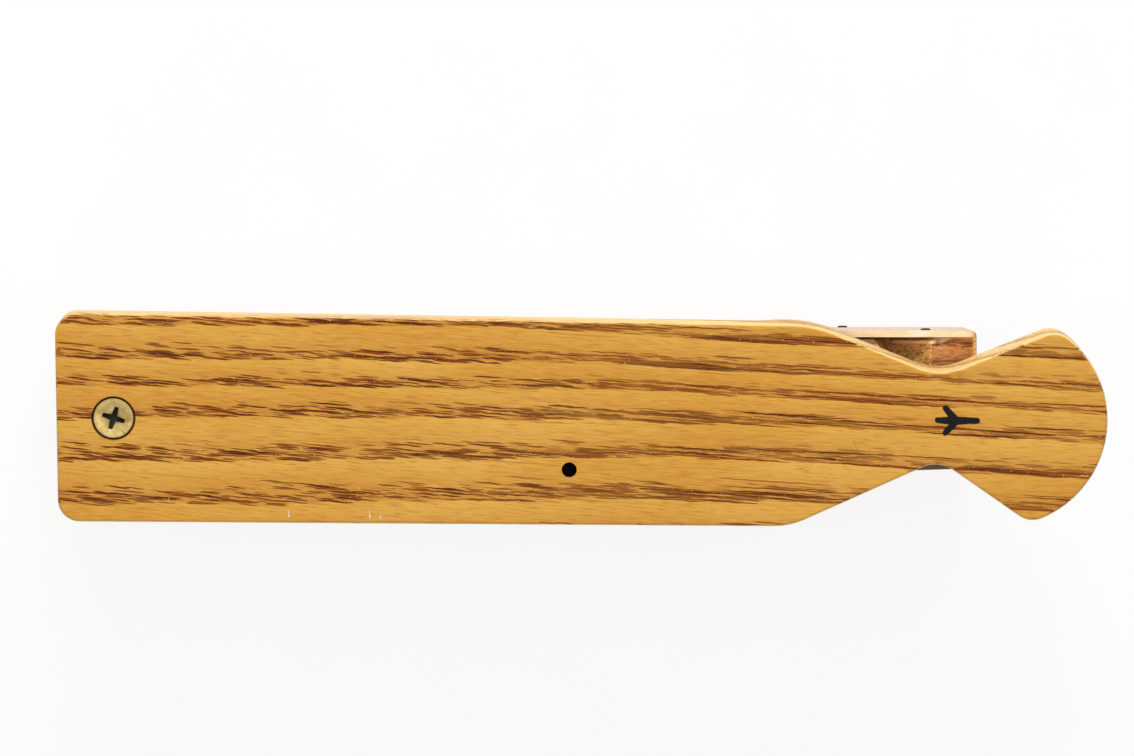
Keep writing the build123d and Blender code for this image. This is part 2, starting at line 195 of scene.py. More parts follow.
class Growth(Graph):
    """A shape grown by geometry nodes from named inputs, kept as a plain mesh."""

    KINDS = {int: "NodeSocketInt", float: "NodeSocketFloat", tuple: "NodeSocketVector"}

    def __init__(self, name, values):
        super().__init__(bpy.data.node_groups.new(name, "GeometryNodeTree"))
        interface = self.tree.interface
        interface.new_socket("Start", in_out="INPUT", socket_type="NodeSocketGeometry")
        interface.new_socket("Shape", in_out="OUTPUT", socket_type="NodeSocketGeometry")
        self.values = {}
        for label, value in values.items():
            kind = self.KINDS[type(value)]
            socket = interface.new_socket(label, in_out="INPUT", socket_type=kind)
            self.values[socket.identifier] = value
        self.given = self.add("NodeGroupInput").outputs

    def turned(self, around, rows, radius, height):
        """A closed solid turned about Z. radius and height take the shares around it and up it."""
        sizes = {"Vertices X": self.plus(around, 1), "Vertices Y": rows}
        sheet = self.add("GeometryNodeMeshGrid", {"Size X": 1.0, "Size Y": 1.0, **sizes})
        spot = self.split(self.add("GeometryNodeInputPosition").outputs[0])
        side, rise = [self.plus(share, 0.5) for share in spot[:2]]
        place = self.around(self.times(side, 2 * pi), radius(side, rise), height(side, rise))
        rolled = self.add("GeometryNodeSetPosition", {0: sheet.outputs[0], "Position": place})
        values = {0: rolled.outputs[0], "Distance": MERGE}
        return self.add("GeometryNodeMergeByDistance", values).outputs[0]

    def around(self, angle, radius, height):
        """A place at an angle, a distance from the Z axis and a height."""
        x = self.times(self.math("COSINE", angle), radius)
        y = self.times(self.math("SINE", angle), radius)
        return self.combine(x, y, height)

    def moved(self, shape, place):
        return self.add("GeometryNodeTransform", {0: shape, "Translation": place}).outputs[0]

    def grow(self, name, shape, material, start=None):
        """Ends the tree with its material, and gives the grown shape as a mesh."""
        smooth = self.add("GeometryNodeSetShadeSmooth", {0: shape}).outputs[0]
        real = self.add("GeometryNodeRealizeInstances", {0: smooth}).outputs[0]
        dressed = self.add("GeometryNodeSetMaterial", {0: real, "Material": material}).outputs[0]
        self.add("NodeGroupOutput", {"Shape": dressed})
        seed = bpy.data.objects.new(name, start or bpy.data.meshes.new(name))
        scene.collection.objects.link(seed)
        modifier = seed.modifiers.new(name, "NODES")
        modifier.node_group = self.tree
        for identifier, value in self.values.items():
            modifier[identifier] = value
        seed.update_tag()
        return modified_mesh(seed, material)


def modified_mesh(piece, material):
    """The mesh that a piece's modifiers leave, in one material. The piece itself is removed."""
    bpy.context.view_layer.update()
    settled = piece.evaluated_get(bpy.context.evaluated_depsgraph_get())
    mesh = bpy.data.meshes.new_from_object(settled)
    bpy.data.objects.remove(piece)
    mesh.materials.clear()
    mesh.materials.append(material)
    mesh.polygons.foreach_set("material_index", [0] * len(mesh.polygons))
    return mesh


def screen(red, green, blue):
    """A colour written in the 0 to 255 values that a screen shows."""
    def channel(value):
        value /= 255
        return value / 12.92 if value <= 0.04045 else ((value + 0.055) / 1.055) ** 2.4
    return (channel(red), channel(green), channel(blue), 1.0)


# Wood. Every length is in millimetres, along the grain, across it, and up.

CHALK = screen(236, 231, 220)
# Painted highlight colour for the lid's sides and arrises, where light catches them
SIDE_HIGHLIGHT_TONE = screen(252, 234, 176)
INK = screen(8, 7, 8)
# Painted shade in the lid's holes and in the gap around the screw head
HOLE_SHADE = screen(40, 22, 10)

# How large the wood's features are
PATCHES = (60, 17, 17)
CLUSTERS = (19, 5, 5)
STREAKS = (42, 0.9, 0.9)
FIBRES = (6, 0.2, 0.2)
FLECKS = (4.5, 0.45, 0.45)
SPECKS = (0.55, 0.36, 0.36)
RIPPLES = (3.5, 1.1, 1.1)
BRUSHING = (30, 9, 9)
# Three kinds of pore, as (size, a shift that sets their pattern apart)
LARGE_PORES = ((9.5, 0.47, 0.47), (0.0, 0.0, 0.0))
SMALL_PORES = ((6.0, 0.34, 0.34), (411.0, 67.3, 23.9))
LONG_PORES = ((32.0, 0.42, 0.42), (777.0, 31.1, 59.7))
# How much the fibres darken each colour, and how much they lighten it
FIBRE_DARKEST = {"Red": 0.88, "Green": 0.85, "Blue": 0.8}
FIBRE_LIGHTEST = 1.1
RING_WAVER = 0.9
BUMP_STRENGTH = 0.6
CHALKED_ROUGHNESS = (0.85, 0.85, 0.85, 1)
BARE_ROUGHNESS = (0.75, 0.75, 0.75, 1)
COAT_ROUGHNESS = 0.22


class Tones:
    """The colours of one wood: its late wood, its early wood, its pores and its pale specks."""

    def __init__(self, pale, honey, brown, pore, dark_pore, speck):
        self.pale = pale
        self.honey = honey
        self.brown = brown
        self.pore = pore
        self.dark_pore = dark_pore
        self.speck = speck


def straight(shader, along):
    """The sideways run of fibres that lie straight along a piece."""
    return 0.0


def early_wood(shader, ring):
    """1 where a ring starts, fading to 0 in its late wood."""
    return shader.spread(ring, 0.1, 0.56, 1.0, 0.0)


def pores(shader, grain, rings, run, size, offset):
    """Pores as long tapered dashes along the fibres, each kept where its middle is in early wood.

    Gives the share of pore at each point, and a tone that differs from pore to pore.
    """
    along, across, height = shader.split(grain)
    fibre = shader.combine(along, shader.minus(across, run(shader, along)), height)
    ripple = shader.slide(shader.noise(fibre, RIPPLES, 1.0), 0.0, 1.0, -0.3, 0.3)
    fibre = shader.vector("ADD", fibre, shader.combine(0.0, ripple, 0.0)).outputs[0]
    spot = shader.vector("DIVIDE", shader.vector("ADD", fibre, offset).outputs[0], size).outputs[0]
    values = {"Vector": spot, "Scale": 1.0, "Randomness": 1.0}
    cells = shader.add("ShaderNodeTexVoronoi", values).outputs
    middle = shader.vector("MULTIPLY", cells["Position"], size).outputs[0]
    middle = shader.vector("SUBTRACT", middle, offset).outputs[0]
    mid_along, mid_across, mid_height = shader.split(middle)
    mid_across = shader.plus(mid_across, run(shader, mid_along))
    ring = shader.math("FRACT", rings(shader, shader.combine(mid_along, mid_across, mid_height)))
    chance, width, tone = shader.add("ShaderNodeSeparateColor", {"Color": cells["Color"]}).outputs
    wanted = shader.slide(early_wood(shader, ring), 0.0, 1.0, 0.015, 1.0)
    kept = shader.spread(shader.minus(wanted, chance), 0.0, 0.06)
    half = shader.slide(width, 0.0, 1.0, 0.38, 0.6)
    dash = shader.spread(shader.minus(half, cells["Distance"]), 0.0, 0.08)
    return shader.times(kept, dash), tone


def wood(shader, grain, rings, run, tones, patch=PATCHES, lines=None, side_highlight=0.0):
    """Colour, height and pore share of a ring-porous wood.

    rings gives the growth rings' count at a place, run gives how far the fibres have run sideways,
    patch is the size of its paler and darker areas, lines is the share of pores cut lengthwise
    into long lines, and the last is the share of painted highlight, where the wood between its
    pores is painted paler as light catches the sides.
    """
    ring = shader.math("FRACT", rings(shader, grain))
    early = shader.times(early_wood(shader, ring), shader.spread(ring, 0.0, 0.06))
    along, across, height = shader.split(grain)
    fibre = shader.combine(along, shader.minus(across, run(shader, along)), height)
    patches = shader.noise(grain, patch, 3.0)
    clusters = shader.noise(grain, CLUSTERS, 2.0)
    streaks = shader.noise(fibre, STREAKS, 3.0, 0.6)
    fibres = shader.noise(fibre, FIBRES, 3.0, 0.6)
    large, large_tone = pores(shader, grain, rings, run, *LARGE_PORES)
    small, small_tone = pores(shader, grain, rings, run, *SMALL_PORES)
    pore = shader.math("MAXIMUM", large, shader.times(small, 0.85))
    tone = shader.times(large, large_tone)
    tone = shader.math("MAXIMUM", tone, shader.times(small, small_tone))
    if lines is not None:
        long, long_tone = pores(shader, grain, rings, run, *LONG_PORES)
        tone = shader.math("MAXIMUM", tone, shader.times(long, long_tone))
        long = shader.times(long, shader.slide(lines, 0.0, 0.6))
        pore = shader.times(pore, shader.slide(lines, 0.0, 1.0, 1.0, 0.55))
        pore = shader.math("MAXIMUM", pore, long)

    colour = shader.blend(shader.spread(patches, 0.32, 0.68), tones.honey, tones.pale)
    colour = shader.blend(shader.spread(ring, 0.35, 1.0, 0.3, 0.0), colour, tones.brown)
    colour = shader.blend(shader.spread(streaks, 0.5, 0.78, 0.0, 0.45), colour, tones.brown)
    tint = shader.times(early, shader.slide(clusters, 0.3, 0.7, 0.15, 0.42))
    colour = shader.blend(tint, colour, tones.brown)
    flecks = shader.noise(fibre, FLECKS, 2.0, 0.6)
    colour = shader.blend(shader.spread(flecks, 0.5, 0.72, 0.0, 0.55), colour, tones.brown)
    colour = shader.blend(shader.spread(flecks, 0.28, 0.48, 0.5, 0.0), colour, tones.pale)
    # Painted highlight: the sides are painted paler where light catches them
    colour = shader.blend(side_highlight, colour, SIDE_HIGHLIGHT_TONE)
    fibre_tone = shader.add("ShaderNodeCombineColor", {
        key: shader.slide(fibres, 0.25, 0.75, darkest, FIBRE_LIGHTEST)
        for key, darkest in FIBRE_DARKEST.items()
    }).outputs[0]
    colour = shader.blend(1.0, colour, fibre_tone, "MULTIPLY")
    pore_tone = shader.blend(shader.slide(tone, 0.05, 0.55), tones.pore, tones.dark_pore)
    strength = shader.slide(side_highlight, 0.0, 1.0, 0.95, 0.0)
    colour = shader.blend(shader.times(pore, strength), colour, pore_tone)
    # Pale specks in the early wood: dust, and painted glints of the varnish
    dust_and_glints = shader.spread(shader.noise(grain, SPECKS, 0.0), 0.75, 0.82)
    dust_and_glints = shader.times(dust_and_glints, shader.slide(early, 0.0, 1.0, 0.12, 0.6))
    colour = shader.blend(dust_and_glints, colour, tones.speck)
    height = shader.minus(shader.times(fibres, 0.3), pore)
    return colour, height, pore


def wood_surface(shader, colour, height, roughness, depth, gloss=0.1, coat=0.0):
    """A wood surface whose pores and fibres stand depth millimetres apart in height."""
    values = {"Height": height, "Strength": BUMP_STRENGTH, "Distance": depth / PER_METRE}
    bump = shader.add("ShaderNodeBump", values)
    surface = shader.add("ShaderNodeBsdfPrincipled", {
        "Base Color": colour,
        "Roughness": roughness,
        "Normal": bump.outputs[0],
        "Specular IOR Level": gloss,
        "Coat Weight": coat,
        "Coat Roughness": COAT_ROUGHNESS,
    })
    return shader.finish(surface.outputs[0])


def straying(shader, grain, wander_size, wander, waver_size):
    """How far growth rings stray from their line, by a slow wander and a quick waver."""
    slow = shader.slide(shader.noise(grain, wander_size), 0.0, 1.0, -wander, wander)
    quick = shader.slide(shader.noise(grain, waver_size), 0.0, 1.0, -RING_WAVER, RING_WAVER)
    return shader.plus(slow, quick)


def end_grain(shader, along):
    """The share of darker colour on the ends of a board, which drink in the varnish."""
    return shader.spread(shader.math("ABSOLUTE", along), 0.6, 0.9, 0.0, 0.6)


def varnish(shader, point, pore, rough):
    """Roughness of a satin varnish, uneven from brushing and duller in the pores."""
    sheen = shader.noise(point, BRUSHING, 3.0)
    roughness = shader.slide(sheen, 0.3, 0.7, rough - 0.06, rough + 0.08)
    return shader.plus(roughness, shader.times(pore, 0.18))


def dusted(shader, point, colour, share, size=3.0):
    """Chalk rubbed thinly over a colour, where share is above 0."""
    cloud = shader.noise(point, (4 * size, size, size), 4.0, 0.65)
    cover = shader.times(shader.spread(cloud, 0.42, 0.68, 0.08, 0.62), share)
    return shader.blend(cover, colour, CHALK)


# The lid's grain: where its bands of large pores cross the width, from its grain's own centre line
LID_GRAIN_CENTRE = 2.0
LID_BANDS = (-42.4, -33.0, -22.6, -12.0, -2.3, 5.1, 11.7, 19.7, 28.0, 36.6)
BAND_SPAN = 90.0
BAND_LEAN = 0.55
# How the bands drift and draw together along the lid, as (share of its length, drift or factor)
LID_DRIFT = ((0.0, 0.0), (0.23, 0.75), (0.51, 1.4), (0.76, -0.65), (1.0, -3.2))
LID_GATHER = ((0.0, 1.0), (0.23, 0.98), (0.51, 0.91), (0.76, 0.85), (1.0, 0.86))
DRIFT_SPAN = 10.0
LID_HEEL = 13.2
LID_LENGTH = 243.0
# The fibres slope across the bands, less so towards the handle
FIBRE_SLOPE = -0.085
FIBRE_STRAIGHTENING = 0.0001
# Where along the lid long pore lines take over from short pores, and their share there
LONG_LINES = (60.0, 180.0)
LONG_LINES_SHARE = 0.85

LID_TONES = Tones(
    pale=screen(220, 170, 78),
    honey=screen(209, 152, 60),
    brown=screen(178, 108, 40),
    pore=screen(136, 60, 10),
    dark_pore=screen(76, 22, 2),
    speck=screen(240, 204, 138),
)


def lid_rings(shader, grain):
    """Ring count across the lid, following its own bands."""
    along, across, height = shader.split(grain)
    share = shader.math("DIVIDE", shader.plus(along, LID_HEEL), LID_LENGTH)
    drift = shader.curve(share, [(x, 0.5 + y / DRIFT_SPAN) for x, y in LID_DRIFT])
    drift = shader.slide(drift, 0.0, 1.0, -DRIFT_SPAN / 2, DRIFT_SPAN / 2)
    gather = shader.curve(share, LID_GATHER)
    depth = shader.times(height, BAND_LEAN)
    offset = shader.minus(across, shader.plus(drift, LID_GRAIN_CENTRE))
    offset = shader.math("DIVIDE", shader.minus(offset, depth), gather)
    offset = shader.plus(offset, straying(shader, grain, (70, 16, 16), 1.8, (11, 3, 3)))
    share_across = shader.plus(shader.math("DIVIDE", offset, BAND_SPAN), 0.5)
    count = len(LID_BANDS) - 1
    steps = [(0.5 + band / BAND_SPAN, index / count) for index, band in enumerate(LID_BANDS)]
    return shader.times(shader.curve(share_across, steps), count)


def lid_run(shader, along):
    """How far the lid's sloping fibres have run sideways."""
    slope = shader.math("MULTIPLY_ADD", along, FIBRE_STRAIGHTENING, FIBRE_SLOPE)
    return shader.times(along, slope)


# The lid's own marks, along and across the lid from the pivot
WORM_HOLE = (105.4, -10.8)
WORM_HOLE_RADIUS = 1.75
COUNTERSINK_RADIUS = 5.0
# Where painted shade darkens the top around the screw head's gap, in millimetres from the pivot
COUNTERSINK_SHADE = (4.9, 5.35)
TRACK_JOINT = (194.6, 1.7)
TRACK_ENDS = ((199.5, 1.7), (190.4, 1.75), (192.2, 4.5), (192.2, -1.2))
SCRATCHES = (
    ((146.0, 16.2), (147.4, 12.6)),
    ((61.0, -16.4), (64.8, -18.4)),
    ((28.0, 4.4), (31.5, 3.2)),
    ((171.0, -3.2), (172.6, -6.8)),
    ((120.6, 19.8), (125.4, 18.9)),
)
# Small chips where the near edge's varnish has come off
CHIPS = (
    ((40.5, -21.0), (40.7, -22.4)),
    ((59.2, -20.8), (59.5, -22.6)),
    ((62.0, -21.9), (61.8, -22.6)),
)


def lid_marks(shader, point):
    """Ink, scratch and chip shares on the lid's top."""
    along, across, height = shader.split(point)
    tremble = shader.slide(shader.noise(point, (1.4, 1.4, 1.4)), 0.0, 1.0, -0.22, 0.22)
    shaky = shader.combine(shader.plus(along, tremble), shader.minus(across, tremble), 0.0)
    flat = shader.combine(along, across, 0.0)
    top = shader.spread(height, -0.5, -0.1)

    def marks(ground, lines, start_half, end_half, soft):
        share = 0.0
        for start, end in lines:
            line = shader.stroke(ground, (*start, 0), (*end, 0), start_half, end_half, soft)
            share = shader.math("MAXIMUM", share, line)
        return shader.times(share, top)

    ink = marks(shaky, [(end, TRACK_JOINT) for end in TRACK_ENDS], 0.7, 1.0, 0.14)
    scratch = marks(flat, SCRATCHES, 0.07, 0.03, 0.05)
    chip = marks(shaky, CHIPS, 0.05, 0.13, 0.07)
    return ink, scratch, chip


def round_depth(shader, point, centre, radius):
    """1 in the sunk wall of a round hole through the lid's top, and 0 on the top itself."""
    away = shader.vector("SUBTRACT", point, (*centre, 0)).outputs[0]
    x, y, depth = shader.split(away)
    distance = shader.vector("LENGTH", shader.combine(x, y, 0.0)).outputs["Value"]
    inside = shader.spread(distance, radius + 0.1, radius + 0.35, 1.0, 0.0)
    return shader.times(inside, shader.spread(depth, -0.35, -0.05, 1.0, 0.0))


def lid_finish():
    """Satin varnish on a top with a few marks, sides painted paler as a painted highlight, painted
    shade in the worm hole and around the screw, and a chalked underside.
    """
    shader = Shader("lid_wood")
    point = shader.place((pivot.x, pivot.y, lid_top), lid_turn)
    lines = shader.spread(shader.split(point)[0], *LONG_LINES, 0.0, LONG_LINES_SHARE)
    along, _, upward = shader.facing()
    under = shader.spread(upward, -0.5, -0.9)
    level = shader.math("ABSOLUTE", upward)
    # Painted highlight: the side faces and arrises painted paler, where light catches them
    side_lit = shader.spread(level, 0.1, 0.4, 0.34, 0.52)
    edge = shader.times(side_lit, shader.spread(level, 0.6, 0.92, 1.0, 0.0))
    grain = (point, lid_rings, lid_run, LID_TONES)
    colour, height, pore = wood(shader, *grain, lines=lines, side_highlight=edge)
    colour = shader.blend(end_grain(shader, along), colour, LID_TONES.brown)
    colour = dusted(shader, point, colour, under)
    ink, scratch, chip = lid_marks(shader, point)
    colour = shader.blend(shader.times(chip, 0.85), colour, CHALK)
    colour = shader.blend(shader.times(scratch, 0.45), colour, LID_TONES.dark_pore)
    colour = shader.blend(ink, colour, INK)
    flat = shader.vector("MULTIPLY", point, (1, 1, 0)).outputs[0]
    # Painted shade in the gap around the screw head
    rim = shader.vector("LENGTH", flat).outputs["Value"]
    colour = shader.blend(shader.spread(rim, *COUNTERSINK_SHADE, 0.85, 0.0), colour, HOLE_SHADE)
    # Painted shade on the sunk walls of the worm hole and the countersink
    for centre, radius in ((WORM_HOLE, WORM_HOLE_RADIUS), ((0, 0), COUNTERSINK_RADIUS)):
        colour = shader.blend(round_depth(shader, point, centre, radius), colour, HOLE_SHADE)
    roughness = shader.blend(under, varnish(shader, point, pore, 0.4), CHALKED_ROUGHNESS)
    height = shader.minus(height, scratch)
    return wood_surface(shader, colour, height, roughness, 0.08)


# The box's boards and end blocks

BOARD_TONES = Tones(
    pale=screen(212, 160, 88),
    honey=screen(194, 138, 70),
    brown=screen(160, 102, 52),
    pore=screen(120, 64, 30),
    dark_pore=screen(82, 40, 18),
    speck=screen(230, 196, 140),
)
LIP_TONE = screen(244, 219, 168)
BLOCK_TONES = Tones(
    pale=screen(190, 128, 66),
    honey=screen(168, 106, 50),
    brown=screen(140, 80, 36),
    pore=screen(112, 56, 22),
    dark_pore=screen(80, 38, 16),
    speck=screen(222, 178, 122),
)
# Painted light on the carved slope, which the lid shades
CARVED_LIGHT = screen(240, 178, 100)
# Pale bare wood of the ledge and the arris, brightened as painted light
LIT_LEDGE_TONE = screen(254, 227, 168)
# Painted shade in the knife cut under the far lip
KERF_SHADE = screen(156, 74, 38)
BLOCK_PATCHES = (15, 5, 5)
BLOCK_LINES = 0.36
TORN_FIBRES = (2.4, 0.55, 0.55)
SAW_MARKS = (0.7, 9, 9)
# Size of the painted highlight patches on a block's level top
BLOCK_HIGHLIGHTS = (3.0, 1.6, 1.6)
BLOCK_DOTS = (0.8, 0.45, 0.45)
LEDGE_STREAKS = (14, 0.7, 0.7)
# Where along the box, in metres, the near lip and the block's ledge stop being bare, with painted
# shade on the near lip past it, and how far past the box's end the far lip would
THUMB_NOTCH = 0.0865
FAR_LIP_FADE = 0.003
# The length over which a lip's painted shade comes in
LIP_FADE = 6.0
# The knife cut that frees the far side board from the handle block: its width, where it and its
# painted shade run out past the thumb notch, and where the painted highlight on the arris beside it
# begins and ends
KERF_WIDTH = 1.2
KERF_END = (9.6, 11.4)
ARRIS_FAR = (0.7, 1.0)
ARRIS_NEAR = (1.35, 1.75)


def plain_rings(spacing, lean):
    """Rings for a piece in which they are evenly spaced and lean by an angle."""
    def rings(shader, grain):
        _, across, height = shader.split(grain)
        level = shader.times(across, cos(lean))
        offset = shader.math("MULTIPLY_ADD", height, sin(lean), level)
        offset = shader.plus(offset, straying(shader, grain, (110, 22, 22), 4.0, (12, 3, 3)))
        return shader.plus(shader.math("DIVIDE", offset, spacing), 100.0)
    return rings


def board_finish(name, origin, spacing, lean, bare_to, coat):
    """A varnished board, its top edge bare and chalked up to an X, and darkened past it as painted
    shade from the lid.
    """
    shader = Shader(name)
    point = shader.place(origin)
    colour, height, pore = wood(shader, point, plain_rings(spacing, lean), straight, BOARD_TONES)
    reach = shader.split(shader.place((bare_to, 0, 0)))[0]
    along, _, upward = shader.facing()
    colour = shader.blend(end_grain(shader, along), colour, BOARD_TONES.brown)
    edge = shader.spread(upward, 0.5, 0.85)
    # Painted shade: the lip darkens past bare_to, where the lid shades it
    lip_shade = shader.times(edge, shader.spread(reach, -LIP_FADE, 0.0))
    bare = shader.minus(edge, lip_shade)
    colour = shader.blend(shader.times(lip_shade, 0.92), colour, BOARD_TONES.dark_pore)
    colour = shader.blend(shader.times(bare, 0.8), colour, LIP_TONE)
    colour = dusted(shader, point, colour, bare, 2.0)
    roughness = shader.blend(bare, varnish(shader, point, pore, 0.32), BARE_ROUGHNESS)
    return wood_surface(shader, colour, height, roughness, 0.06, gloss=coat / 2, coat=coat)


def far_face(node):
    """A node's largest face towards the far side: its direction, and how far out it lies."""
    faces = [face for face in nodes[node].data.polygons if face.normal.y > 0.9]
    face = max(faces, key=lambda face: face.area)
    return face.normal.copy(), face.normal.dot(face.center)


def knife_cut(shader, colour, face, reach):
    """A block's colour with painted shade in the cut along its far face, and a painted highlight on
    the arris beside the cut.
    """
    normal, out = face
    inward = shader.vector("DOT_PRODUCT", shader.place(), tuple(normal)).outputs["Value"]
    inward = shader.minus(out * PER_METRE, inward)
    cut = shader.spread(reach, *KERF_END, 1.0, 0.0)
    along = shader.times(shader.spread(reach, 0.6, 1.6), cut)
    # Painted highlight on the arris beside the cut
    arris = shader.spread(inward, *ARRIS_FAR)
    arris = shader.times(arris, shader.spread(inward, *ARRIS_NEAR, 1.0, 0.0))
    arris = shader.times(shader.times(arris, along), 0.8)
    colour = shader.blend(arris, colour, LIT_LEDGE_TONE)
    # Painted shade in the knife cut
    kerf = shader.spread(inward, 0.65, 0.95, 0.6, 0.0)
    return shader.blend(shader.times(kerf, cut), colour, KERF_SHADE)


def block_finish(name, origin, spacing, lean, top, bare_to, cut_face=None):
    """An end block: sawn, thinly varnished, torn where it is carved, and bare on top up to an X,
    with painted light on its carved slope and bare ledge and painted highlights on its level top.
    """
    shader = Shader(name)
    point = shader.place(origin)
    grain = (point, plain_rings(spacing, lean), straight, BLOCK_TONES)
    colour, height, pore = wood(shader, *grain, BLOCK_PATCHES, BLOCK_LINES)
    facing = shader.facing()[2]
    slope = shader.spread(facing, 0.12, 0.3)
    slope = shader.times(slope, shader.spread(facing, 0.85, 0.95, 1.0, 0.0))
    torn = shader.noise(point, TORN_FIBRES, 3.0, 0.65)
    # Painted light: the carved slope lightened where the lid shades it
    colour = shader.blend(shader.times(slope, 0.7), colour, CARVED_LIGHT)
    dark = shader.times(slope, shader.spread(torn, 0.5, 0.62, 0.0, 0.62))
    colour = shader.blend(dark, colour, BLOCK_TONES.dark_pore)
    light = shader.times(slope, shader.spread(torn, 0.36, 0.5, 0.6, 0.0))
    colour = shader.blend(light, colour, BLOCK_TONES.speck)
    level_face = shader.spread(facing, 0.9, 0.97)
    # Painted highlights: pale patches on the level top
    highlight_patches = shader.spread(shader.noise(point, BLOCK_HIGHLIGHTS, 3.0, 0.6), 0.5, 0.72, 0.0, 0.45)
    colour = shader.blend(shader.times(level_face, highlight_patches), colour, BLOCK_TONES.speck)
    dots = shader.spread(shader.noise(point, BLOCK_DOTS, 2.0, 0.6), 0.56, 0.68, 0.0, 0.55)
    colour = shader.blend(shader.times(level_face, dots), colour, BLOCK_TONES.dark_pore)
    reach, _, level = shader.split(shader.place((bare_to, 0, top)))
    bare = shader.times(shader.spread(level, -1.6, -1.2), shader.spread(facing, 0.7, 0.95))
    bare = shader.times(bare, shader.spread(reach, -0.8, 0.0, 1.0, 0.0))
    streaks = shader.spread(shader.noise(point, LEDGE_STREAKS, 3.0, 0.6), 0.45, 0.7, 0.9, 0.6)
    streaks = shader.times(streaks, shader.slide(pore, 0.0, 1.0, 1.0, 0.3))
    # The bare ledge: pale bare wood, brightened as painted light where the lid shades it
    colour = shader.blend(shader.times(bare, streaks), colour, LIT_LEDGE_TONE)
    if cut_face is not None:
        colour = knife_cut(shader, colour, cut_face, reach)
    saw = shader.noise(point, SAW_MARKS, 2.0, 0.6)
    height = shader.math("MULTIPLY_ADD", saw, 0.5, height)
    height = shader.math("MULTIPLY_ADD", shader.times(torn, slope), -2.0, height)
    roughness = shader.plus(varnish(shader, point, pore, 0.5), shader.times(bare, 0.25))
    return wood_surface(shader, colour, height, roughness, 0.12)


# Metal


def metal_surface(shader, colour, roughness, metallic):
    values = {"Base Color": colour, "Roughness": roughness, "Metallic": metallic}
    return shader.finish(shader.add("ShaderNodeBsdfPrincipled", values).outputs[0])


BRASS = screen(180, 156, 100)
DULL_BRASS = screen(150, 126, 76)
# Grime, and painted shade in the recess and at the rim
GRIME_AND_SHADE = screen(30, 22, 16)
HEAD_GOUGE = ((1.7, -2.85, 0), (2.5, -3.6, 0))


def screw_finish():
    """A worn brass head, with grime and painted shade in its cross recess and under its rim."""
    shader = Shader("screw_brass")
    point = shader.place((pivot.x, pivot.y, head_top))
    x, y, depth = shader.split(point)
    flat = shader.combine(x, y, 0.0)
    distance = shader.vector("LENGTH", flat).outputs["Value"]
    rubbed = shader.noise(point, (1.1, 0.16, 1.0), 3.0, 0.6)
    tarnish = shader.noise(point, (2.2, 2.2, 2.2), 3.0, 0.6)
    worn = shader.times(tarnish, 0.5)
    worn = shader.plus(shader.times(rubbed, 0.5), worn)
    colour = shader.blend(shader.spread(worn, 0.42, 0.62), BRASS, DULL_BRASS)
    # Grime and painted shade at the head's rim, by the dark gap around it
    colour = shader.blend(shader.spread(distance, 4.1, 4.6, 0.0, 0.4), colour, GRIME_AND_SHADE)
    gouge = shader.stroke(flat, *HEAD_GOUGE, 0.05, 0.11, 0.05)
    colour = shader.blend(shader.times(gouge, 0.8), colour, GRIME_AND_SHADE)
    # Grime and painted shade below the head's top land, in the recess, with less metal shine there
    sunk = shader.spread(depth, -0.45, -0.06, 1.0, 0.0)
    colour = shader.blend(sunk, colour, GRIME_AND_SHADE)
    roughness = shader.slide(worn, 0.35, 0.65, 0.34, 0.5)
    roughness = shader.plus(roughness, shader.times(sunk, 0.3))
    return metal_surface(shader, colour, roughness, shader.slide(sunk, 0.0, 1.0, 1.0, 0.2))


def steel_finish(name, bright, dull, rough):
    """Plain steel with patches of dull film and fine rubbing."""
    shader = Shader(name)
    point = shader.place()
    film = shader.noise(point, (1.6, 1.6, 1.6), 3.0, 0.6)
    rubbed = shader.noise(point, (0.3, 0.3, 0.3), 2.0)
    colour = shader.blend(shader.spread(film, 0.4, 0.66), bright, dull)
    roughness = shader.slide(rubbed, 0.3, 0.7, rough - 0.06, rough + 0.1)
    return metal_surface(shader, colour, roughness, 1.0)


def dress(name, material):
    """Gives a node its material."""
    mesh = nodes[name].data
    mesh.materials.clear()
    mesh.materials.append(material)


dress("paddle_lid", lid_finish())
# Each piece's own grain: where its pattern starts in metres, its rings' spacing, and their lean
far_lip_end = box_end + FAR_LIP_FADE
far_wood = board_finish("far_side_wood", (0.3, 0.1, 0.0), 6.5, radians(82), far_lip_end, 0.8)
near_wood = board_finish("near_side_wood", (0.1, -0.2, 0.03), 6.5, radians(98), THUMB_NOTCH, 0.35)
floor_wood = board_finish("floor_wood", (0.7, 0.0, 0.1), 8.0, radians(20), far_lip_end, 0.35)
hinge_wood = block_finish(
    "hinge_block_wood", (-0.4, 0.03, 0.01), 3.8, radians(15), hinge_top, THUMB_NOTCH
)
dress("far_side_board", far_wood)
dress("near_side_board", near_wood)
dress("floor_board", floor_wood)
dress("hinge_block", hinge_wood)
washer_steel = steel_finish("washer_steel", screen(196, 196, 196), screen(142, 138, 130), 0.36)
dress("lid_washer", washer_steel)


# Finer shapes, in metres: the threaded screw, the coil spring, the domed brads, the carved block


def fitted(name, mesh, node):
    """Puts a finer piece in the place of a node on the box."""
    piece = bpy.data.objects.new(name, mesh)
    scene.collection.objects.link(piece)
    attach(piece, "box")
    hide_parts(node)


def joined_copy(node):
    """A node's shape with its loose triangles joined up, to work on."""
    shape = bmesh.new()
    shape.from_mesh(nodes[node].data)
    bmesh.ops.remove_doubles(shape, verts=shape.verts, dist=MERGE)
    return shape


def open_edges(shape):
    return [edge for edge in shape.edges if edge.is_boundary]


def kept_mesh(shape, name):
    """Ends the work on a shape, and keeps it as a mesh."""
    mesh = bpy.data.meshes.new(name)
    shape.to_mesh(mesh)
    shape.free()
    return mesh


def crisp(mesh):
    """Shades a mesh smooth between its sharp edges."""
    mesh.shade_smooth()
    mesh.set_sharp_from_angle(angle=SHARP_FROM)
    return mesh


